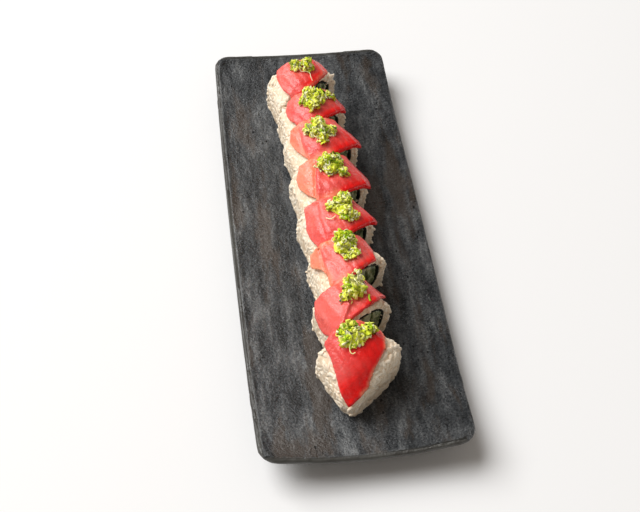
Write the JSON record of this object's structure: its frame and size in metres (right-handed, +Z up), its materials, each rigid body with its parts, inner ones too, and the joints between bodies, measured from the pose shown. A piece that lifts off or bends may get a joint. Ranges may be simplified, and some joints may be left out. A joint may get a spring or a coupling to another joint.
{
  "type": "uramaki roll on a long plate",
  "caption": "Sliced inside-out sushi roll with draped raw tuna and chopped scallion on top, laid in a row on a long dark stoneware plate.",
  "frame": {"origin": "on the ground plane, under the middle of the plate's bounding box", "axes": "+Y along the plate's long middle line towards the first slice, +Z up, +X to the right when seen from the uncut end"},
  "size_m": [0.1194, 0.3058, 0.0608],
  "materials": {
    "plate": "dark semi-gloss stoneware glaze, mottled and finely pitted",
    "rice": "cooked rice grains, moist satin",
    "nori": "dark seaweed sheet, satin",
    "crab": "shredded crab, moist",
    "avocado": "soft avocado flesh, satin",
    "cucumber": "cucumber stick, moist",
    "tuna": "raw tuna slice, wet sheen with pale sinew lines",
    "scallion": "finely chopped scallion, fresh"
  },
  "bodies": {
    "root": {"plate": "plate", "rice_1": "rice", "nori_1": "nori", "crab_1": "crab", "avocado_1": "avocado", "cucumber_1": "cucumber", "tuna_1": "tuna", "scallion_1": "scallion", "rice_2": "rice", "nori_2": "nori", "crab_2": "crab", "avocado_2": "avocado", "cucumber_2": "cucumber", "tuna_2": "tuna", "scallion_2": "scallion", "rice_3": "rice", "nori_3": "nori", "crab_3": "crab", "avocado_3": "avocado", "cucumber_3": "cucumber", "tuna_3": "tuna", "scallion_3": "scallion", "rice_4": "rice", "nori_4": "nori", "crab_4": "crab", "avocado_4": "avocado", "cucumber_4": "cucumber", "tuna_4": "tuna", "scallion_4": "scallion", "rice_5": "rice", "nori_5": "nori", "crab_5": "crab", "avocado_5": "avocado", "cucumber_5": "cucumber", "tuna_5": "tuna", "scallion_5": "scallion", "rice_6": "rice", "nori_6": "nori", "crab_6": "crab", "avocado_6": "avocado", "cucumber_6": "cucumber", "tuna_6": "tuna", "scallion_6": "scallion", "rice_7": "rice", "nori_7": "nori", "crab_7": "crab", "avocado_7": "avocado", "cucumber_7": "cucumber", "tuna_7": "tuna", "scallion_7": "scallion", "rice_8": "rice", "nori_8": "nori", "crab_8": "crab", "avocado_8": "avocado", "cucumber_8": "cucumber", "tuna_8": "tuna", "scallion_8": "scallion"}
  },
  "joints": []
}
